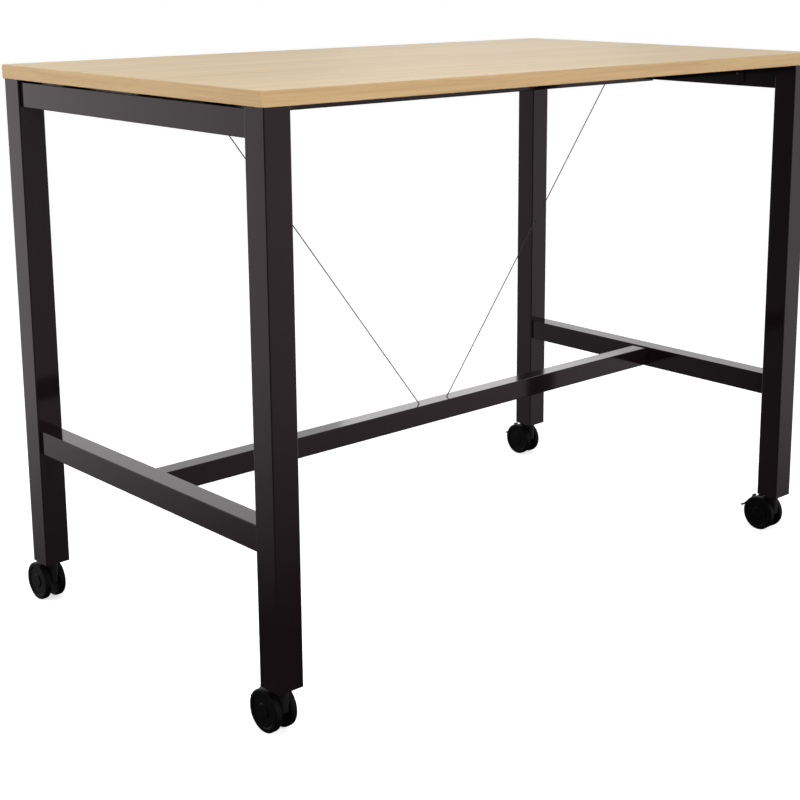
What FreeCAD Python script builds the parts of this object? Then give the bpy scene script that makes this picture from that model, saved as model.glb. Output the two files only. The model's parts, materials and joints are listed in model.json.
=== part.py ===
import FreeCAD, Part
import os
import re
import Sketcher

V = FreeCAD.Vector
DOC = FreeCAD.newDocument("high_table")
SHEET = DOC.addObject("Spreadsheet::Sheet", "Dims")

# Driving sizes in millimetres
SIZES = {
    "top_length": 1400, "top_width": 800, "top_thick": 25, "board_corner": 8,
    "band_thick": 2, "band_edge": 1.2, "table_height": 1040, "overhang": 5,
    "leg_size": 50, "leg_wall": 2, "leg_corner": 2, "leg_inner": 0.8,
    "rail_width": 40, "rail_height": 45, "rail_wall": 2, "rail_corner": 1.5, "rail_inner": 0.5, "rail_gap": 4.5,
    "foot_height": 353.5, "stretcher_width": 35, "stretcher_height": 40, "beam_height": 52,
    "wire_size": 2, "wire_foot": 38, "wire_inset": 141, "wire_embed": 15,
    "wire_clear": 0.3, "anchor_clear": 2, "anchor_height": 14,
    "bracket_width": 90, "bracket_reach": 30, "bracket_margin": 8, "bracket_thick": 3,
    "bracket_inner": 2, "bracket_inset": 125, "bracket_setback": 18,
    "screw_pitch": 60, "screw_size": 4, "screw_cover": 12, "screw_head": 8, "head_height": 2.6,
    "screw_clear": 0.3, "tapper_spare": 7, "screw_height": 3,
    "wheel_clear": 9, "caster_trail": 24.5, "socket_height": 30, "socket_clear": 1.5,
    "stem_size": 9, "stem_chamfer": 1, "stem_clear": 1, "collar_reach": 5.5, "collar_height": 4,
    "swivel_gap": 0.3, "bore_wall": 3.5, "bore_depth": 33.7, "bore_floor": 5, "neck_wall": 5.5,
    "fork_round": 5, "cap_reach": 7, "cap_height": 3.5, "boss_wall": 7, "axle_size": 8, "run_clear": 0.05,
    "wheel_radius": 37, "wheel_width": 13, "side_clear": 0.75, "tread_round": 3,
    "rim_depth": 8, "hub_thick": 8, "dish_depth": 1.5, "hub_wall": 3, "end_clear": 0.4,
    "pedal_gap": 0.2, "pedal_thick": 2, "pedal_up": 5, "pedal_clear": 2.75, "pedal_round": 5,
    "ridge_height": 2.4, "lip_height": 3, "lip_reach": 5.5, "web_up": 4, "web_down": 14,
    "pivot_inset": 11, "pin_size": 4, "ear_wall": 5, "ear_thick": 3.7, "eye_wall": 3.5,
    "web_clear": 0.3, "slot_clear": 2,
}

# Sizes that follow from the driving ones
DERIVED = {
    "top_corner": "board_corner + band_thick",
    "band_round": "min(band_edge; band_thick * 0.6)",
    "leg_x": "top_length / 2 - overhang - leg_size / 2",
    "leg_y": "top_width / 2 - overhang - leg_size / 2",
    "mid_y": "-(leg_y + caster_trail + pedal_reach - top_width / 2) / 2",
    "board_under": "table_height - top_thick",
    "leg_length": "board_under - caster_height",
    "rail_length": "2 * leg_y - leg_size",
    "top_rail_z": "board_under - rail_gap - rail_height / 2",
    "low_rail_z": "foot_height - rail_height / 2",
    "stretcher_top": "low_rail_z + stretcher_height / 2",
    "rail_inside": "leg_x - rail_width / 2",
    "span_length": "2 * rail_inside",
    "beam_under": "board_under - beam_height",
    "wire_head": "rail_inside - wire_inset",
    "wire_rise": "beam_under - stretcher_top",
    "wire_run": "wire_head - wire_foot",
    "wire_slope": "wire_run / wire_rise",
    "wire_span": "sqrt(wire_run * wire_run + wire_rise * wire_rise)",
    "wire_sine": "wire_run / wire_span",
    "wire_cosine": "wire_rise / wire_span",
    "anchor_size": "stretcher_width - 2 * rail_wall - 2 * anchor_clear",
    "anchor_depth": "rail_wall + anchor_height / 2",
    "bracket_bend": "bracket_inner + bracket_thick",
    "bracket_drop": "rail_gap + rail_height - bracket_margin",
    "bracket_place": "leg_y - leg_size / 2 - bracket_inset",
    "screw_length": "bracket_thick + top_thick - screw_cover",
    "tapper_length": "bracket_thick + rail_wall + tapper_spare",
    "pilot_depth": "screw_length - bracket_thick + screw_clear",
    "caster_height": "2 * wheel_radius + wheel_clear",
    "socket_corner": "leg_inner + socket_clear",
    "collar_size": "stem_size + 2 * collar_reach",
    "fork_top": "caster_height - collar_height - swivel_gap",
    "fork_width": "stem_size + 2 * bore_wall",
    "fork_nose": "stem_size / 2 + neck_wall",
    "fork_cap": "stem_size + 2 * cap_reach",
    "bore_foot": "fork_top - bore_depth",
    "stem_foot": "bore_foot + stem_clear",
    "fork_foot": "bore_foot - bore_floor",
    "axle_boss": "axle_size / 2 + boss_wall",
    "wheel_inner": "fork_width / 2 + side_clear",
    "wheel_outer": "wheel_inner + wheel_width",
    "hub_end": "wheel_outer - hub_wall",
    "dish_outer": "wheel_radius - rim_depth",
    "dish_inner": "axle_size / 2 + hub_thick",
    "pedal_inner": "wheel_radius + pedal_gap",
    "pedal_outer": "pedal_inner + pedal_thick",
    "pedal_middle": "pedal_inner + pedal_thick / 2",
    "pedal_width": "2 * (wheel_inner - pedal_clear)",
    "ridge_top": "pedal_outer + ridge_height",
    "ridge_foot": "pedal_up - pedal_thick",
    "lip_under": "lip_height - pedal_thick",
    "lip_start": "pedal_outer * sqrt(2) - lip_height",
    "pedal_reach": "lip_start + lip_reach",
    "pivot_radius": "wheel_radius - pivot_inset",
    "pivot_off": "pivot_radius * sqrt(0.5)",
    "pivot_ear": "pin_size / 2 + ear_wall",
    "pivot_eye": "pin_size / 2 + eye_wall",
    "slot_width": "fork_width - 2 * ear_thick",
    "web_width": "slot_width - 2 * web_clear",
    "slot_front": "pivot_eye + slot_clear",
}
ALIASES = set(SIZES) | set(DERIVED)
LEGS = {"front_left": (-1, -1), "back_left": (-1, 1), "front_right": (1, -1), "back_right": (1, 1)}


def bind(text):
    """Point every size name in an expression at the sheet."""
    return re.sub(r"[a-z_]+", lambda m: "Dims." + m[0] if m[0] in ALIASES else m[0], str(text))


def number(text):
    return float(SHEET.evalExpression(bind(text).replace("Dims.", "")))


def fill_sheet():
    rows = [(name, repr(value)) for name, value in SIZES.items()]
    rows += [(name, "=" + text) for name, text in DERIVED.items()]
    for row, (name, text) in enumerate(rows, 1):
        SHEET.set(f"A{row}", name)
        SHEET.set(f"B{row}", text)
        SHEET.setAlias(f"B{row}", name)
    DOC.recompute()


def new_body(name, x, y, z, turn=None):
    """A body at a bound position; turn is (axis, degrees text)."""
    body = DOC.addObject("PartDesign::Body", name)
    body.Label = name
    if turn:
        body.Placement = FreeCAD.Placement(V(), FreeCAD.Rotation(turn[0], 0))
        body.setExpression("Placement.Rotation.Angle", bind(turn[1]))
    for axis, text in zip("xyz", (x, y, z)):
        body.setExpression("Placement.Base." + axis, bind(text))
    return body


def origin_plane(body, role):
    return next(f for f in body.Origin.OriginFeatures if f.Role == role)


def new_sketch(body, role, lift="0", at=("0", "0")):
    """A sketch on an origin plane, lifted along its normal and moved to a point of the plane."""
    sketch = body.newObject("Sketcher::SketchObject", body.Label + "_sketch")
    sketch.AttachmentSupport = [(origin_plane(body, role), "")]
    sketch.MapMode = "FlatFace"
    for axis, text in zip("xyz", (*at, lift)):
        sketch.setExpression("AttachmentOffset.Base." + axis, bind(text))
    return sketch


def drive(sketch, constraint, text):
    """Add a dimension and bind it to the sheet."""
    index = sketch.addConstraint(constraint)
    name = f"driven_{index}"
    sketch.renameConstraint(index, name)
    sketch.setExpression("Constraints." + name, bind(text))


def pin_point(sketch, geo, pos, x, y):
    drive(sketch, Sketcher.Constraint("DistanceX", -1, 1, geo, pos, number(x)), x)
    drive(sketch, Sketcher.Constraint("DistanceY", -1, 1, geo, pos, number(y)), y)


def polygon(sketch, points):
    corners = [V(number(x), number(y)) for x, y in points]
    first = sketch.GeometryCount
    count = len(corners)
    for i in range(count):
        sketch.addGeometry(Part.LineSegment(corners[i], corners[(i + 1) % count]))
    for i in range(count):
        sketch.addConstraint(Sketcher.Constraint("Coincident", first + i, 2, first + (i + 1) % count, 1))
    for i, (x, y) in enumerate(points):
        pin_point(sketch, first + i, 1, x, y)


def circle(sketch, x, y, radius):
    geo = sketch.addGeometry(Part.Circle(V(number(x), number(y)), V(0, 0, 1), number(radius)))
    pin_point(sketch, geo, 3, x, y)
    drive(sketch, Sketcher.Constraint("Radius", geo, number(radius)), radius)


def rounded_loop(sketch, width, height, radius):
    """A centred rectangle with rounded corners, its three sizes bound."""
    half_w, half_h, r = number(width) / 2, number(height) / 2, number(radius)
    flat_w, flat_h = half_w - r, half_h - r
    ends = [((-flat_w, -half_h), (flat_w, -half_h)), ((half_w, -flat_h), (half_w, flat_h)),
            ((flat_w, half_h), (-flat_w, half_h)), ((-half_w, flat_h), (-half_w, -flat_h))]
    centres = [(flat_w, -flat_h), (flat_w, flat_h), (-flat_w, flat_h), (-flat_w, -flat_h)]
    first = sketch.GeometryCount
    for (start, end), centre, quarter in zip(ends, centres, (-1, 0, 1, 2)):
        sketch.addGeometry(Part.LineSegment(V(*start), V(*end)))
        arc = Part.Circle(V(*centre), V(0, 0, 1), r)
        turn = 1.5707963267948966
        sketch.addGeometry(Part.ArcOfCircle(arc, quarter * turn, (quarter + 1) * turn))
    for i in range(4):
        line, arc = first + 2 * i, first + 2 * i + 1
        sketch.addConstraint(Sketcher.Constraint("Tangent", line, 2, arc, 1))
        sketch.addConstraint(Sketcher.Constraint("Tangent", arc, 2, first + (2 * i + 2) % 8, 1))
        sketch.addConstraint(Sketcher.Constraint("Vertical" if i % 2 else "Horizontal", line))
        if i:
            sketch.addConstraint(Sketcher.Constraint("Equal", first + 1, arc))
    sketch.addConstraint(Sketcher.Constraint("Symmetric", first, 1, first + 4, 1, -1, 1))
    drive(sketch, Sketcher.Constraint("Radius", first + 1, r), radius)
    drive(sketch, Sketcher.Constraint("DistanceX", first + 6, 1, first + 2, 1, 2 * half_w), width)
    drive(sketch, Sketcher.Constraint("DistanceY", first, 1, first + 4, 1, 2 * half_h), height)


def add_solid(kind, body, sketch, length, both=False, back=False):
    """Pad or Pocket a sketch by a bound length."""
    feature = body.newObject("PartDesign::" + kind, body.Label + "_" + kind.lower())
    feature.Profile = sketch
    feature.SideType = "Symmetric" if both else "One side"
    feature.Reversed = back
    feature.setExpression("Length", bind(length))
    body.Tip = feature
    DOC.recompute()
    return feature


def revolve(body, sketch, axis, degrees="360"):
    feature = body.newObject("PartDesign::Revolution", body.Label + "_turned")
    feature.Profile = sketch
    feature.ReferenceAxis = (sketch, [axis])
    feature.setExpression("Angle", bind(degrees))
    body.Tip = feature
    DOC.recompute()
    return feature


def round_edges(body, radius, wanted):
    """Fillet the tip's edges that pass a test."""
    base = body.Tip
    names = [f"Edge{i}" for i, edge in enumerate(base.Shape.Edges, 1) if wanted(edge)]
    fillet = body.newObject("PartDesign::Fillet", body.Label + "_fillet")
    fillet.Base = (base, names)
    fillet.setExpression("Radius", bind(radius))
    body.Tip = fillet
    DOC.recompute()


def slanted_cut(body, radius, x, z, lean):
    """A round hole along a brace wire; x and z are where the wire crosses the middle of the cut."""
    cut = body.newObject("PartDesign::SubtractiveCylinder", body.Label + "_slanted_hole")
    cut.Placement = FreeCAD.Placement(V(), FreeCAD.Rotation(V(0, 1, 0), 0))
    cut.setExpression("Radius", bind(radius))
    cut.setExpression("Height", bind("2 * wire_embed"))
    cut.setExpression("Placement.Base.x", bind(f"{x} - {lean} * wire_embed * wire_sine"))
    cut.setExpression("Placement.Base.z", bind(f"{z} - wire_embed * wire_cosine"))
    cut.setExpression("Placement.Rotation.Angle", bind(f"{lean} * atan(wire_slope)"))
    body.Tip = cut
    DOC.recompute()


def repeat(body, features, steps):
    """Copy features through patterns and mirrors; a step is (plane role) or (axis role, pitch)."""
    multi = body.newObject("PartDesign::MultiTransform", body.Label + "_copies")
    parts = []
    for role, pitch in steps:
        if pitch is None:
            part = DOC.addObject("PartDesign::Mirrored", body.Label + "_mirror")
            part.MirrorPlane = (origin_plane(body, role), [""])
        else:
            part = DOC.addObject("PartDesign::LinearPattern", body.Label + "_row")
            part.Direction = (origin_plane(body, role), [""])
            part.Occurrences = 2
            part.setExpression("Length", bind(pitch))
        parts.append(part)
    multi.Originals = features
    multi.Transformations = parts
    body.Tip = multi
    DOC.recompute()


def make_tube(body, role, width, height, wall, corner, inner, length, both=True):
    sketch = new_sketch(body, role)
    rounded_loop(sketch, width, height, corner)
    rounded_loop(sketch, f"{width} - 2 * {wall}", f"{height} - 2 * {wall}", inner)
    add_solid("Pad", body, sketch, length, both)


# Tabletop
def make_board():
    body = new_body("tabletop_board", 0, "mid_y", "board_under")
    sketch = new_sketch(body, "XY_Plane")
    rounded_loop(sketch, "top_length - 2 * band_thick", "top_width - 2 * band_thick", "top_corner - band_thick")
    add_solid("Pad", body, sketch, "top_thick")
    holes = new_sketch(body, "XY_Plane")
    circle(holes, "rail_inside - bracket_setback", "bracket_place - screw_pitch / 2", "screw_size / 2")
    pilot = add_solid("Pocket", body, holes, "pilot_depth", back=True)
    repeat(body, [pilot], [("Y_Axis", "screw_pitch"), ("XZ_Plane", None), ("YZ_Plane", None)])


def make_band():
    body = new_body("edge_band", 0, "mid_y", "board_under")
    sketch = new_sketch(body, "XY_Plane")
    rounded_loop(sketch, "top_length", "top_width", "top_corner")
    rounded_loop(sketch, "top_length - 2 * band_thick", "top_width - 2 * band_thick", "top_corner - band_thick")
    add_solid("Pad", body, sketch, "top_thick")
    inner_x = number("top_length / 2 - band_thick")
    inner_y = number("top_width / 2 - band_thick")
    corner = number("top_corner")
    bend = number("top_corner - band_thick / 2")

    def outer_rim(edge):
        if edge.BoundBox.ZLength > 0.01:
            return False
        middle = edge.valueAt((edge.FirstParameter + edge.LastParameter) / 2)
        dx = abs(middle.x) - inner_x - number("band_thick") + corner
        dy = abs(middle.y) - inner_y - number("band_thick") + corner
        if dx > 0 and dy > 0:
            return (dx * dx + dy * dy) ** 0.5 > bend
        return abs(middle.x) > inner_x + 0.5 or abs(middle.y) > inner_y + 0.5

    round_edges(body, "band_round", outer_rim)


# Frame
def make_leg(name, sx, sy):
    body = new_body("leg_" + name, f"{sx} * leg_x", f"mid_y + {sy} * leg_y", "caster_height")
    make_tube(body, "XY_Plane", "leg_size", "leg_size", "leg_wall", "leg_corner", "leg_inner", "leg_length",
              both=False)


def make_end_rail(name, sx, height, drilled):
    """Tube between two legs; its own -X side faces the middle of the table."""
    turn = (V(0, 0, 1), "0 deg" if sx > 0 else "180 deg")
    body = new_body(name, f"{sx} * leg_x", "mid_y", height, turn)
    make_tube(body, "XZ_Plane", "rail_width", "rail_height", "rail_wall", "rail_corner", "rail_inner",
              "rail_length")
    if drilled:
        holes = new_sketch(body, "YZ_Plane", "-rail_width / 2")
        circle(holes, "bracket_place - screw_pitch / 2", "screw_height", "screw_size / 2")
        cut = add_solid("Pocket", body, holes, "2 * rail_wall", back=True)
        repeat(body, [cut], [("Y_Axis", "screw_pitch"), ("XZ_Plane", None)])


def make_stretcher():
    body = new_body("foot_stretcher", 0, "mid_y", "low_rail_z")
    make_tube(body, "YZ_Plane", "stretcher_width", "stretcher_height", "rail_wall", "rail_corner", "rail_inner",
              "span_length")
    for sx in (-1, 1):
        slanted_cut(body, "wire_size / 2 + wire_clear", f"{sx} * wire_foot", "stretcher_height / 2", sx)


def make_beam():
    body = new_body("top_beam", 0, "mid_y", "board_under - beam_height / 2")
    make_tube(body, "YZ_Plane", "stretcher_width", "beam_height", "rail_wall", "rail_corner", "rail_inner",
              "span_length")
    for sx in (-1, 1):
        slanted_cut(body, "wire_size / 2 + wire_clear", f"{sx} * wire_head", "-beam_height / 2", sx)


def make_wire(name, sx):
    turn = (V(0, 1, 0), f"{sx} * atan(wire_slope)")
    middle = f"{sx} * (wire_foot + wire_head) / 2"
    body = new_body("brace_wire_" + name, middle, "mid_y", "(stretcher_top + beam_under) / 2", turn)
    sketch = new_sketch(body, "XY_Plane")
    circle(sketch, 0, 0, "wire_size / 2")
    add_solid("Pad", body, sketch, "wire_span + 2 * wire_embed", both=True)


def make_anchor(name, sx, x, z):
    """Round block inside a tube that grips the end of a brace wire."""
    body = new_body("wire_anchor_" + name, f"{sx} * ({x})", "mid_y", z)
    sketch = new_sketch(body, "XY_Plane")
    circle(sketch, 0, 0, "anchor_size / 2")
    add_solid("Pad", body, sketch, "anchor_height", both=True)
    slanted_cut(body, "wire_size / 2", 0, 0, sx)


# Fixings between frame and tabletop
def make_bracket(name, sx, sy):
    turn = (V(0, 0, 1), "0 deg" if sx > 0 else "180 deg")
    body = new_body("top_bracket_" + name, f"{sx} * rail_inside", f"mid_y + {sy} * bracket_place",
                    "board_under", turn)
    sketch = new_sketch(body, "XZ_Plane")
    polygon(sketch, [("0", "0"), ("-bracket_reach", "0"), ("-bracket_reach", "-bracket_thick"),
                     ("-bracket_thick", "-bracket_thick"), ("-bracket_thick", "-bracket_drop"),
                     ("0", "-bracket_drop")])
    add_solid("Pad", body, sketch, "bracket_width", both=True)

    def bend_at(depth):
        return lambda e: e.BoundBox.YLength > 1 and abs(e.CenterOfMass.x + depth) < 0.01 \
            and abs(e.CenterOfMass.z + depth) < 0.01

    round_edges(body, "bracket_bend", bend_at(0))
    round_edges(body, "bracket_bend - bracket_thick", bend_at(number("bracket_thick")))
    up = new_sketch(body, "XY_Plane")
    circle(up, "-bracket_setback", "-screw_pitch / 2", "screw_size / 2 + screw_clear")
    circle(up, "-bracket_setback", "screw_pitch / 2", "screw_size / 2 + screw_clear")
    add_solid("Pocket", body, up, "2 * bracket_thick")
    side = new_sketch(body, "YZ_Plane")
    circle(side, "-screw_pitch / 2", "screw_height - rail_gap - rail_height / 2", "screw_size / 2 + screw_clear")
    circle(side, "screw_pitch / 2", "screw_height - rail_gap - rail_height / 2", "screw_size / 2 + screw_clear")
    add_solid("Pocket", body, side, "2 * bracket_thick")


def screw_outline(sketch, length):
    polygon(sketch, [("0", "-head_height"), ("screw_head * 0.3", "-head_height"),
                     ("screw_head / 2", "-head_height * 0.4"), ("screw_head / 2", "0"),
                     ("screw_size / 2", "0"), ("screw_size / 2", f"{length} - screw_size / 2"), ("0", length)])


def make_top_screws():
    body = new_body("bracket_top_screws", 0, "mid_y", "board_under - bracket_thick")
    place = ("rail_inside - bracket_setback", "0")
    sketch = new_sketch(body, "XZ_Plane", "-(bracket_place - screw_pitch / 2)", place)
    screw_outline(sketch, "screw_length")
    screw = revolve(body, sketch, "V_Axis")
    repeat(body, [screw], [("Y_Axis", "screw_pitch"), ("XZ_Plane", None), ("YZ_Plane", None)])


def make_rail_screws():
    body = new_body("bracket_rail_screws", 0, "mid_y", "top_rail_z + screw_height")
    place = ("rail_inside - bracket_thick", "bracket_place - screw_pitch / 2")
    sketch = new_sketch(body, "XY_Plane", "0", place)
    polygon(sketch, [("-head_height", "0"), ("-head_height", "screw_head * 0.3"),
                     ("-head_height * 0.4", "screw_head / 2"), ("0", "screw_head / 2"),
                     ("0", "screw_size / 2"), ("tapper_length - screw_size / 2", "screw_size / 2"),
                     ("tapper_length", "0")])
    screw = revolve(body, sketch, "H_Axis")
    repeat(body, [screw], [("Y_Axis", "screw_pitch"), ("XZ_Plane", None), ("YZ_Plane", None)])


# Castors
def make_socket(name, x, y):
    """Plug in the leg's end that holds the castor stem."""
    body = new_body("caster_socket_" + name, x, y, "caster_height")
    sketch = new_sketch(body, "XY_Plane")
    rounded_loop(sketch, "leg_size - 2 * leg_wall", "leg_size - 2 * leg_wall", "socket_corner")
    circle(sketch, 0, 0, "stem_size / 2")
    add_solid("Pad", body, sketch, "socket_height")


def make_stem(name, x, y):
    body = new_body("caster_stem_" + name, x, y, 0)
    sketch = new_sketch(body, "XZ_Plane")
    polygon(sketch, [("0", "stem_foot"), ("stem_size / 2 - stem_chamfer", "stem_foot"),
                     ("stem_size / 2", "stem_foot + stem_chamfer"),
                     ("stem_size / 2", "caster_height - collar_height"),
                     ("collar_size / 2", "caster_height - collar_height"), ("collar_size / 2", "caster_height"),
                     ("stem_size / 2", "caster_height"), ("stem_size / 2", "caster_height + socket_height"),
                     ("0", "caster_height + socket_height")])
    revolve(body, sketch, "V_Axis")


def make_fork(name, x, y):
    """Castor body between the wheels: swivel neck, axle boss and the ears of the pedal hinge."""
    body = new_body("caster_fork_" + name, x, y, 0)
    axle = ("caster_trail", "wheel_radius")
    pivot = ("caster_trail + pivot_off", "wheel_radius + pivot_off")
    side = new_sketch(body, "YZ_Plane")
    polygon(side, [("-fork_nose", "fork_foot"), ("-fork_nose", "fork_top"), ("fork_nose", "fork_top"),
                   (pivot[0], pivot[1] + " + pivot_ear"), (pivot[0], pivot[1]),
                   ("caster_trail + axle_boss", "wheel_radius"), ("caster_trail - axle_boss", "wheel_radius")])
    add_solid("Pad", body, side, "fork_width", both=True)
    nose = -number("fork_nose")
    round_edges(body, "fork_round", lambda e: e.BoundBox.ZLength > 5 and abs(e.BoundBox.YMax - nose) < 0.01)
    for centre, radius in ((axle, "axle_boss"), (pivot, "pivot_ear")):
        boss = new_sketch(body, "YZ_Plane")
        circle(boss, *centre, radius)
        add_solid("Pad", body, boss, "fork_width", both=True)
    cap = new_sketch(body, "XY_Plane", "fork_top")
    circle(cap, 0, 0, "fork_cap / 2")
    add_solid("Pad", body, cap, "cap_height", back=True)
    slot = new_sketch(body, "YZ_Plane")
    front, foot = f"{pivot[0]} - slot_front", f"{pivot[1]} - slot_front"
    rear, head = f"{pivot[0]} + 2 * pivot_ear", f"{pivot[1]} + 2 * pivot_ear"
    polygon(slot, [(front, foot), (rear, foot), (rear, head), (front, head)])
    add_solid("Pocket", body, slot, "slot_width", both=True)
    for centre, radius in ((axle, "axle_size / 2"), (pivot, "pin_size / 2")):
        hole = new_sketch(body, "YZ_Plane")
        circle(hole, *centre, radius)
        add_solid("Pocket", body, hole, "2 * fork_width", both=True)
    bore = new_sketch(body, "XY_Plane", "fork_top")
    circle(bore, 0, 0, "stem_size / 2 + run_clear")
    add_solid("Pocket", body, bore, "fork_top - bore_foot")


def make_rod(name, x, y, z, size, half):
    """Plain pin along X."""
    body = new_body(name, x, y, z)
    sketch = new_sketch(body, "YZ_Plane")
    circle(sketch, 0, 0, f"{size} / 2")
    add_solid("Pad", body, sketch, f"2 * ({half})", both=True)


def make_wheel(name, x, y, z, sx):
    """Dished wheel with a blind hub bore; turned half round for the left side."""
    body = new_body(name, x, y, z, (V(0, 0, 1), "0 deg" if sx > 0 else "180 deg"))
    sketch = new_sketch(body, "XY_Plane")
    bore = "axle_size / 2 + run_clear"
    polygon(sketch, [("wheel_inner", bore), ("wheel_inner", "wheel_radius"), ("wheel_outer", "wheel_radius"),
                     ("wheel_outer", "dish_outer"), ("wheel_outer - dish_depth", "dish_outer - dish_depth"),
                     ("wheel_outer - dish_depth", "dish_inner + dish_depth"), ("wheel_outer", "dish_inner"),
                     ("wheel_outer", "0"), ("hub_end", "0"), ("hub_end", bore)])
    revolve(body, sketch, "H_Axis")
    rim = number("wheel_radius")
    round_edges(body, "tread_round", lambda e: abs(e.BoundBox.ZMax - rim) < 0.01 and e.BoundBox.XLength < 0.01)


def diagonal(out, along):
    """A point of the pedal's side view: out from the axle towards the pivot, then along the foot plate."""
    return f"({out} - {along}) * sqrt(0.5)", f"({out} + {along}) * sqrt(0.5)"


def make_pedal(name, x, y, z):
    """Brake pedal between the wheels: foot plate with a ridge and a lip, on a web hinged in the fork."""
    body = new_body("brake_pedal_" + name, x, y, z)
    plate = new_sketch(body, "YZ_Plane")
    polygon(plate, [diagonal("pedal_inner", "pedal_up"), diagonal("ridge_top", "pedal_up"),
                    diagonal("ridge_top", "ridge_foot"), diagonal("pedal_outer", "ridge_foot"),
                    ("lip_start", "lip_height"), ("pedal_reach", "lip_height"), ("pedal_reach", "lip_under"),
                    ("pedal_inner * sqrt(2) - lip_under", "lip_under")])
    add_solid("Pad", body, plate, "pedal_width", both=True)
    tip = number("pedal_reach")
    round_edges(body, "pedal_round", lambda e: e.BoundBox.XLength < 0.01 and abs(e.BoundBox.YMin - tip) < 0.01)
    web = new_sketch(body, "YZ_Plane")
    polygon(web, [diagonal("pivot_radius", "pivot_eye"), diagonal("pedal_middle", "web_up"),
                  diagonal("pedal_middle", "-web_down"), diagonal("pivot_radius", "-pivot_eye")])
    add_solid("Pad", body, web, "web_width", both=True)
    eye = new_sketch(body, "YZ_Plane")
    circle(eye, "pivot_off", "pivot_off", "pivot_eye")
    add_solid("Pad", body, eye, "web_width", both=True)
    hole = new_sketch(body, "YZ_Plane")
    circle(hole, "pivot_off", "pivot_off", "pin_size / 2 + run_clear")
    add_solid("Pocket", body, hole, "2 * web_width", both=True)


def make_caster(name, sx, sy):
    x, y = f"{sx} * leg_x", f"mid_y + {sy} * leg_y"
    axle_y = f"{y} + caster_trail"
    make_socket(name, x, y)
    make_stem(name, x, y)
    make_fork(name, x, y)
    make_rod("caster_axle_" + name, x, axle_y, "wheel_radius", "axle_size", "hub_end - end_clear")
    make_rod("pedal_pin_" + name, x, f"{axle_y} + pivot_off", "wheel_radius + pivot_off", "pin_size",
             "fork_width / 2")
    make_wheel("wheel_left_" + name, x, axle_y, "wheel_radius", -1)
    make_wheel("wheel_right_" + name, x, axle_y, "wheel_radius", 1)
    make_pedal(name, x, axle_y, "wheel_radius")


def write_parts():
    os.makedirs("parts", exist_ok=True)
    DOC.recompute()
    for body in DOC.findObjects("PartDesign::Body"):
        for item in [body, *body.Group]:
            if {"Invalid", "Error"} & set(item.State):
                raise RuntimeError(f"{item.Name}: {item.State}")
        if body.Shape.isNull() or not body.Shape.isValid() or not body.Shape.Solids:
            raise RuntimeError(f"{body.Label}: bad shape")
        body.Shape.exportStep(f"parts/{body.Label}.step")


def main():
    fill_sheet()
    make_board()
    make_band()
    for name, (sx, sy) in LEGS.items():
        make_leg(name, sx, sy)
        make_bracket(name, sx, sy)
        make_caster(name, sx, sy)
    for name, sx in (("left", -1), ("right", 1)):
        make_end_rail("top_rail_" + name, sx, "top_rail_z", True)
        make_end_rail("low_rail_" + name, sx, "low_rail_z", False)
        make_wire(name, sx)
        make_anchor("low_" + name, sx, "wire_foot - anchor_depth * wire_slope", "stretcher_top - anchor_depth")
        make_anchor("high_" + name, sx, "wire_head + anchor_depth * wire_slope", "beam_under + anchor_depth")
    make_stretcher()
    make_beam()
    make_top_screws()
    make_rail_screws()
    write_parts()


main()
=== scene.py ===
"""Looks of the high table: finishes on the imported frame, a pale studio and the photograph's camera."""
import json
import math

import bpy
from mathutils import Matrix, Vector

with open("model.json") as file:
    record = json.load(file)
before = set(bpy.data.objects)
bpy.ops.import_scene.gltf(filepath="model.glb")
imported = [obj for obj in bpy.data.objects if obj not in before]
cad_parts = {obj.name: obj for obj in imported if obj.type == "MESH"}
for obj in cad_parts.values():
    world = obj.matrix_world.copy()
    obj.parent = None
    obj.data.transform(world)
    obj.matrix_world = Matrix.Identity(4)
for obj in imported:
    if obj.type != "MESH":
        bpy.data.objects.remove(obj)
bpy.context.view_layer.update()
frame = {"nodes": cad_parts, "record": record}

# Camera: metres, degrees, millimetres for the lens and the sensor, and frame widths for the shift
CAMERA_PLACE = (-2.0491, -2.2672, 1.2278)
CAMERA_YAW = 43.322
CAMERA_PITCH = 12.271
CAMERA_LENS = 69.789
CAMERA_SENSOR = 36.0
CAMERA_SHIFT = (-0.07, -0.13)

# The range in which most of a noise's values lie
NOISE_SPAN = (0.3, 0.7)


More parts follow.
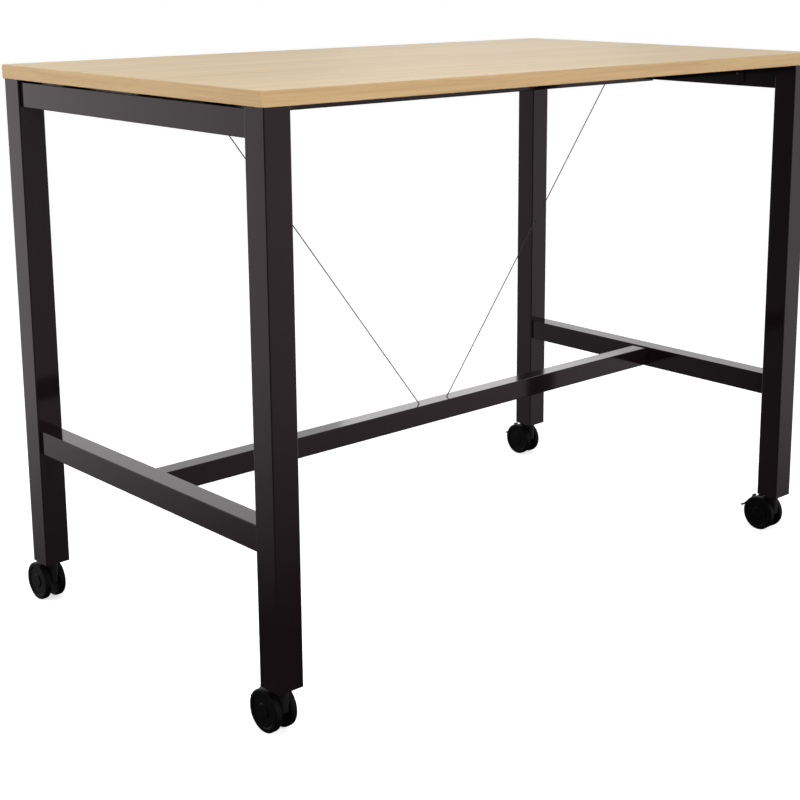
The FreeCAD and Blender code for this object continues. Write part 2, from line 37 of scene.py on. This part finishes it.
class Nodes:
    """A node tree whose nodes are added and linked in one call each."""

    def __init__(self, tree):
        self.tree = tree

    def add(self, kind, inputs=None, **settings):
        """A node of that kind; inputs maps a socket's name or number to a value or another socket."""
        made = self.tree.nodes.new("ShaderNode" + kind)
        for key, value in settings.items():
            setattr(made, key, value)
        for key, value in (inputs or {}).items():
            self.join(made.inputs[key], value)
        return made

    def join(self, socket, value):
        """Link a socket to another one, or set its value."""
        if isinstance(value, bpy.types.NodeSocket):
            self.tree.links.new(value, socket)
        else:
            socket.default_value = value

    def coordinates(self, kind="Object"):
        return self.add("TexCoord").outputs[kind]

    def stretched(self, vector, scale):
        return self.add("Mapping", {"Vector": vector, "Scale": scale}).outputs["Vector"]

    def split(self, vector):
        return self.add("SeparateXYZ", {"Vector": vector}).outputs

    def vector(self, operation, *values):
        """The outputs of a vector math node, which are named Vector and Value."""
        return self.add("VectorMath", dict(enumerate(values)), operation=operation).outputs

    def noise(self, vector, scale=1.0, detail=4.0, roughness=0.55, distortion=0.0):
        spec = {"Scale": scale, "Detail": detail, "Roughness": roughness, "Distortion": distortion}
        return self.add("TexNoise", {"Vector": vector, **spec}).outputs[0]

    def ranged(self, value, span, result=(0.0, 1.0)):
        """A span of the value carried over to the result's span, and held at its ends."""
        ends = {"From Min": span[0], "From Max": span[1], "To Min": result[0], "To Max": result[1]}
        return self.add("MapRange", {"Value": value, **ends}, clamp=True).outputs[0]

    def calculated(self, operation, *values):
        """What a math node makes of the values."""
        return self.add("Math", dict(enumerate(values)), operation=operation).outputs[0]

    def between(self, share, first, second):
        """A number mixed from two, by the Mix node's sockets for plain numbers."""
        return self.add("Mix", {0: share, 2: first, 3: second}).outputs[0]

    def blend(self, share, first, second):
        """A colour mixed from two."""
        return self.add("MixRGB", {"Fac": share, "Color1": first, "Color2": second}).outputs[0]

    def ramp(self, value, stops):
        """A colour that goes through the stops, which are pairs of place and colour."""
        made = self.add("ValToRGB", {"Fac": value})
        points = made.color_ramp.elements
        while len(points) < len(stops):
            points.new(1.0)
        for point, (place, colour) in zip(points, stops):
            point.position = place
            point.color = (*colour, 1.0)
        return made.outputs[0]

    def bump(self, height, strength, distance):
        return self.add("Bump", {"Height": height, "Strength": strength, "Distance": distance}).outputs[0]


class Finish(Nodes):
    """A material on the principled shader, whose sockets are given by name."""

    def __init__(self, name, **sockets):
        self.material = bpy.data.materials.new(name)
        self.material.use_nodes = True
        super().__init__(self.material.node_tree)
        self.shader = self.tree.nodes["Principled BSDF"]
        for socket, value in sockets.items():
            self.set(socket.replace("_", " "), value)

    def set(self, socket, value):
        self.join(self.shader.inputs[socket], value)

    def two_tone(self, cloud, look, span=NOISE_SPAN):
        """Base colour from the look's dark to its light one over a span of the cloud."""
        self.set("Base Color", self.ramp(cloud, [(span[0], look["dark"]), (span[1], look["light"])]))

    def surface(self, cloud, relief, look):
        """Colour and roughness that follow the cloud, and a bump that follows the relief."""
        self.two_tone(cloud, look)
        self.set("Roughness", self.ranged(cloud, NOISE_SPAN, look["roughness"]))
        self.set("Normal", self.bump(relief, **look["bump"]))
        return self.material

    def clouded(self, look):
        """A surface with the look's broad cloud and fine grain."""
        spot = self.coordinates()
        return self.surface(self.noise(spot, **look["cloud"]), self.noise(spot, **look["grain"]), look)


# Oak decor: linear colours, noise cells per metre along and across the grain, and bump depths in metres
# The top's tones are paler than the edge band's: partly the oak decor's own tone, partly painted light that
# stands in for overhead light and sheen on the top
OAK_TOP_WITH_PAINTED_LIGHT = {
    "pale": (0.735, 0.57, 0.34),
    "mid": (0.655, 0.49, 0.275),
    "deep": (0.55, 0.40, 0.205),
    "roughness": (0.46, 0.58),
    "ior": 1.44,
}
OAK_EDGE = {
    "pale": (0.62, 0.43, 0.222),
    "mid": (0.55, 0.368, 0.181),
    "deep": (0.445, 0.285, 0.132),
    "roughness": (0.36, 0.48),
    "ior": 1.48,
}
OAK_LAYERS = {
    "bands": {"along": 0.8, "across": 11, "detail": 3, "distortion": 0.7},
    "fibres": {"along": 4.5, "across": 240, "detail": 6, "roughness": 0.66},
    "streaks": {"along": 1.4, "across": 52, "detail": 4, "distortion": 0.3},
    "pores": {"along": 26, "across": 950, "detail": 3, "roughness": 0.6},
}
OAK_SHARES = {"bands": 0.28, "fibres": 0.44, "streaks": 0.28}
OAK_STOPS = {"deep": 0.36, "mid": 0.50, "pale": 0.64}
OAK_BUMP = {"strength": 0.12, "distance": 0.0004}
PORE_SPAN = (0.54, 0.66)
PORE_MARK = (0.0, 0.55)
PORE_RELIEF = -0.5
END_FACING = 0.7


def along_table(finish):
    """Grain coordinates of the top face: the fibres run along the table."""
    return finish.coordinates()


def along_edge(finish):
    """Grain coordinates of the edge band: the fibres run along each side, whichever way it faces."""
    spot = finish.split(finish.coordinates())
    facing = finish.split(finish.add("NewGeometry").outputs["True Normal"])
    end_face = finish.calculated("GREATER_THAN", finish.calculated("ABSOLUTE", facing["X"]), END_FACING)
    along = finish.between(end_face, spot["X"], spot["Y"])
    across = finish.between(end_face, spot["Y"], spot["X"])
    return finish.add("CombineXYZ", {"X": along, "Y": spot["Z"], "Z": across}).outputs[0]


def grain_layer(finish, spot, along, across, **noise):
    """A noise drawn out along the grain."""
    return finish.noise(finish.stretched(spot, (along, across, across)), **noise)


def oak(name, look, grain):
    """Oak decor: broad bands, streaks, fine fibres and short pores, all drawn out along the grain."""
    finish = Finish(name, IOR=look["ior"])
    spot = grain(finish)
    layers = {layer: grain_layer(finish, spot, **spec) for layer, spec in OAK_LAYERS.items()}
    tone = 0.0
    for layer, share in OAK_SHARES.items():
        tone = finish.calculated("MULTIPLY_ADD", layers[layer], share, tone)
    colour = finish.ramp(tone, [(place, look[shade]) for shade, place in OAK_STOPS.items()])
    marks = finish.ranged(layers["pores"], PORE_SPAN, PORE_MARK)
    finish.set("Base Color", finish.blend(marks, colour, (*look["deep"], 1)))
    finish.set("Roughness", finish.ranged(layers["fibres"], NOISE_SPAN, look["roughness"]))
    relief = finish.calculated("MULTIPLY_ADD", layers["pores"], PORE_RELIEF, layers["fibres"])
    finish.set("Normal", finish.bump(relief, **OAK_BUMP))
    return finish.material


# The other finishes: linear colours, noise cells per metre and bump depths in metres
COAT = {
    "dark": (0.0078, 0.0046, 0.0056),
    "light": (0.0104, 0.0064, 0.0076),
    "sheen": (0.97, 0.78, 0.85),
    "ior": 1.5,
    "roughness": (0.075, 0.105),
    "cloud": {"scale": 6.0, "detail": 5, "roughness": 0.6},
    "peel": {"scale": 420.0, "detail": 2},
    "specks": {"scale": 1500.0, "detail": 1},
    "tone_span": (0.35, 0.65),
    "speck_span": (0.75, 1.25),
    "bump": {"strength": 0.02, "distance": 0.0006},
}
WIRE = {
    "dark": (0.045, 0.045, 0.048),
    "light": (0.11, 0.11, 0.115),
    "roughness": (0.32, 0.48),
    "stretch": (1600, 1600, 60),
    "score": {"detail": 3},
    "bump": {"strength": 0.1, "distance": 0.0001},
}
PLATE = {
    "dark": (0.17, 0.17, 0.175),
    "light": (0.30, 0.30, 0.31),
    "roughness": (0.36, 0.54),
    "cloud": {"scale": 160.0, "detail": 4},
    "grain": {"scale": 2400.0, "detail": 2},
    "bump": {"strength": 0.08, "distance": 0.0001},
}
PLASTIC = {
    "dark": (0.003, 0.0028, 0.0032),
    "light": (0.006, 0.0057, 0.0062),
    "ior": 1.46,
    "gloss": 0.35,
    "roughness": (0.46, 0.60),
    "cloud": {"scale": 45.0, "detail": 4},
    "grain": {"scale": 2200.0, "detail": 2},
    "bump": {"strength": 0.18, "distance": 0.0002},
}

# Castor wheels: as above, with the tread in shares of the diameter and the rings in radians per diameter
WHEEL = {
    "face": (0.0022, 0.0021, 0.0025),
    "dust": (0.009, 0.0086, 0.0082),
    "ior": 1.47,
    "gloss": 0.12,
    "roughness": (0.30, 0.42),
    "tread_roughness": 0.16,
    "centre": (0.5, 0.5, 0.5),
    "tread": (0.46, 0.495),
    "rings": 420.0,
    "scuffs": {"scale": 260.0, "detail": 5, "roughness": 0.65},
    "dust_span": (0.45, 0.75),
    "bump": {"strength": 0.05, "distance": 0.0001},
}


def coat():
    """Brown-black powder coat, half gloss, with orange peel and faint handling marks."""
    finish = Finish("frame_coat", IOR=COAT["ior"], Specular_Tint=(*COAT["sheen"], 1))
    spot = finish.coordinates()
    cloud, peel, specks = (finish.noise(spot, **COAT[layer]) for layer in ("cloud", "peel", "specks"))
    finish.two_tone(cloud, COAT, COAT["tone_span"])
    marks = finish.calculated("ADD", cloud, specks)
    finish.set("Roughness", finish.ranged(marks, COAT["speck_span"], COAT["roughness"]))
    finish.set("Normal", finish.bump(peel, **COAT["bump"]))
    return finish.material


def drawn_wire():
    """Dull drawn steel, finely scored along its length."""
    finish = Finish("steel_wire", Metallic=1.0)
    score = finish.noise(finish.stretched(finish.coordinates(), WIRE["stretch"]), **WIRE["score"])
    return finish.surface(score, score, WIRE)


def plated_steel():
    """Zinc plate, cloudy and slightly scuffed."""
    return Finish("plain_steel", Metallic=1.0).clouded(PLATE)


def moulded_plastic():
    """Spark-textured black plastic."""
    finish = Finish("black_plastic", IOR=PLASTIC["ior"], Specular_IOR_Level=PLASTIC["gloss"])
    return finish.clouded(PLASTIC)


def wheel_plastic():
    """Half-gloss wheel: fine moulding rings on its faces and a scuffed, dusty tread."""
    finish = Finish("wheel_tread", IOR=WHEEL["ior"], Specular_IOR_Level=WHEEL["gloss"])
    offset = finish.vector("SUBTRACT", finish.coordinates("Generated"), WHEEL["centre"])["Vector"]
    parts = finish.split(offset)
    flat = finish.add("CombineXYZ", {"Y": parts["Y"], "Z": parts["Z"]}).outputs[0]
    radius = finish.vector("LENGTH", flat)["Value"]
    rings = finish.calculated("SINE", finish.calculated("MULTIPLY", radius, WHEEL["rings"]))
    tread = finish.ranged(radius, WHEEL["tread"])
    scuffs = finish.noise(finish.coordinates(), **WHEEL["scuffs"])
    dust = finish.calculated("MULTIPLY", tread, finish.ranged(scuffs, WHEEL["dust_span"]))
    finish.set("Base Color", finish.blend(dust, (*WHEEL["face"], 1), (*WHEEL["dust"], 1)))
    worn = finish.ranged(scuffs, NOISE_SPAN, WHEEL["roughness"])
    finish.set("Roughness", finish.calculated("MULTIPLY_ADD", tread, WHEEL["tread_roughness"], worn))
    finish.set("Normal", finish.bump(rings, **WHEEL["bump"]))
    return finish.material


def dress(nodes, record):
    """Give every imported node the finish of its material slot."""
    finishes = {
        "oak_top": oak("oak_top", OAK_TOP_WITH_PAINTED_LIGHT, along_table),
        "oak_edge": oak("oak_edge", OAK_EDGE, along_edge),
        "frame_coat": coat(),
        "steel_wire": drawn_wire(),
        "plain_steel": plated_steel(),
        "black_plastic": moulded_plastic(),
        "wheel_tread": wheel_plastic(),
    }
    for row in record["subparts"]:
        piece = nodes[row["node"]]
        piece.data.materials.clear()
        piece.data.materials.append(finishes[row["material_slot"]])


# Studio, in metres; the camera sees as far as the wall's corners
FLOOR_REACH = 40.0
FLOOR_GLOW = 0.55
WALL_HEIGHT = 40.0
WALL_GLOW = 0.95
VIEW_REACH = 2 * FLOOR_REACH
PAINT = {
    "dark": (0.8471, 0.8471, 0.8471),
    "light": (0.86, 0.86, 0.86),
    "glow": (1, 1, 1, 1),
    "roughness": 0.9,
    "cloud": {"scale": 1.5, "detail": 3},
}

# Surround: brightness by height, from straight down at 0 to straight up at 1, and by the way it faces
SKY_HEIGHTS = [(0.30, 0.02), (0.37, 0.80), (0.44, 1.0), (0.60, 1.0), (0.78, 0.75), (1.0, 0.64)]
BACKDROP_WAY = (0.743, 0.669, 0.0)
BACKDROP_RIGHT = (BACKDROP_WAY[1], -BACKDROP_WAY[0], 0.0)
BACKDROP_LEVEL = 1.25
LEFT_FALL = {"facing": (-0.27, 0.34), "level": (0.03, BACKDROP_LEVEL)}
RIGHT_FALL = {"facing": (-0.40, 0.75), "level": (0.30, BACKDROP_LEVEL)}
SIDE_BLEND = (-0.3, 0.3)

# Lamps, in metres and watts; the finishes mirror only the weak one at the back
PANELS = {
    "panel_left": {
        "place": (-3.5, 0.3, 2.0),
        "aim": (0.0, 0.0, 0.9),
        "size": 1.6,
        "power": 92,
        "mirrored": False,
    },
    "panel_front": {
        "place": (-0.4, -3.7, 2.0),
        "aim": (0.0, 0.0, 0.9),
        "size": 1.6,
        "power": 115,
        "mirrored": False,
    },
    "panel_back": {
        "place": (2.4, 2.3, 1.75),
        "aim": (0.3, 0.2, 1.0),
        "size": 1.2,
        "power": 4.5,
        "mirrored": True,
    },
}


def studio_paint(name, glow):
    """Pale matt paint that glows a little, so that the ground stays as white as the photograph's."""
    finish = Finish(name, Roughness=PAINT["roughness"], Emission_Color=PAINT["glow"], Emission_Strength=glow)
    finish.two_tone(finish.noise(finish.coordinates(), **PAINT["cloud"]), PAINT)
    return finish.material


def stage_sheet(name, points, faces, paint):
    """A sheet of the studio, which the table's finishes neither mirror nor take light from."""
    mesh = bpy.data.meshes.new(name)
    mesh.from_pydata(points, [], faces)
    mesh.materials.append(paint)
    sheet = bpy.data.objects.new(name, mesh)
    bpy.context.scene.collection.objects.link(sheet)
    sheet.visible_glossy = False
    sheet.visible_diffuse = False
    return sheet


def build_studio():
    """A floor and a wall round it; the wall lets the surround's light through."""
    reach = FLOOR_REACH
    corners = [(-reach, -reach), (reach, -reach), (reach, reach), (-reach, reach)]
    low = [(x, y, 0.0) for x, y in corners]
    high = [(x, y, WALL_HEIGHT) for x, y in corners]
    count = len(corners)
    sides = [(i, (i + 1) % count, (i + 1) % count + count, i + count) for i in range(count)]
    stage_sheet("floor", low, [tuple(range(count))], studio_paint("floor_paint", FLOOR_GLOW))
    wall = stage_sheet("wall", low + high, sides, studio_paint("wall_paint", WALL_GLOW))
    wall.visible_shadow = False


def light_sky():
    """Soft surround: a backdrop that falls off faster on its left than on its right, and is dark below."""
    world = bpy.data.worlds.new("studio")
    bpy.context.scene.world = world
    world.use_nodes = True
    sky = Nodes(world.node_tree)
    way = sky.coordinates("Generated")
    height = sky.ranged(sky.split(way)["Z"], (-1.0, 1.0))
    colour = sky.ramp(height, [(place, (level,) * 3) for place, level in SKY_HEIGHTS])
    facing = sky.vector("DOT_PRODUCT", way, BACKDROP_WAY)["Value"]
    sideways = sky.vector("DOT_PRODUCT", way, BACKDROP_RIGHT)["Value"]
    left, right = (sky.ranged(facing, fall["facing"], fall["level"]) for fall in (LEFT_FALL, RIGHT_FALL))
    level = sky.between(sky.ranged(sideways, SIDE_BLEND), left, right)
    background = sky.tree.nodes["Background"]
    sky.join(background.inputs["Color"], colour)
    sky.join(background.inputs["Strength"], level)


def hang_panels():
    """Soft square lamps, each turned to its aim."""
    for name, spec in PANELS.items():
        light = bpy.data.lights.new(name, "AREA")
        light.shape = "SQUARE"
        light.size = spec["size"]
        light.energy = spec["power"]
        lamp = bpy.data.objects.new(name, light)
        lamp.visible_glossy = spec["mirrored"]
        lamp.location = spec["place"]
        aim = Vector(spec["aim"]) - Vector(spec["place"])
        lamp.rotation_euler = aim.to_track_quat("-Z", "Y").to_euler()
        bpy.context.scene.collection.objects.link(lamp)


def set_camera():
    """The photograph's viewing angle, looking down a little to keep the lens shift small."""
    data = bpy.data.cameras.new("camera")
    data.lens = CAMERA_LENS
    data.sensor_width = CAMERA_SENSOR
    data.shift_x, data.shift_y = CAMERA_SHIFT
    data.clip_end = VIEW_REACH
    camera = bpy.data.objects.new("camera", data)
    camera.location = CAMERA_PLACE
    yaw, pitch = math.radians(CAMERA_YAW), math.radians(CAMERA_PITCH)
    ahead = Vector((math.sin(yaw) * math.cos(pitch), math.cos(yaw) * math.cos(pitch), -math.sin(pitch)))
    camera.rotation_euler = ahead.to_track_quat("-Z", "Y").to_euler()
    bpy.context.scene.collection.objects.link(camera)
    bpy.context.scene.camera = camera


dress(frame["nodes"], frame["record"])
build_studio()
light_sky()
hang_panels()
set_camera()
bpy.context.scene.view_settings.view_transform = "Standard"
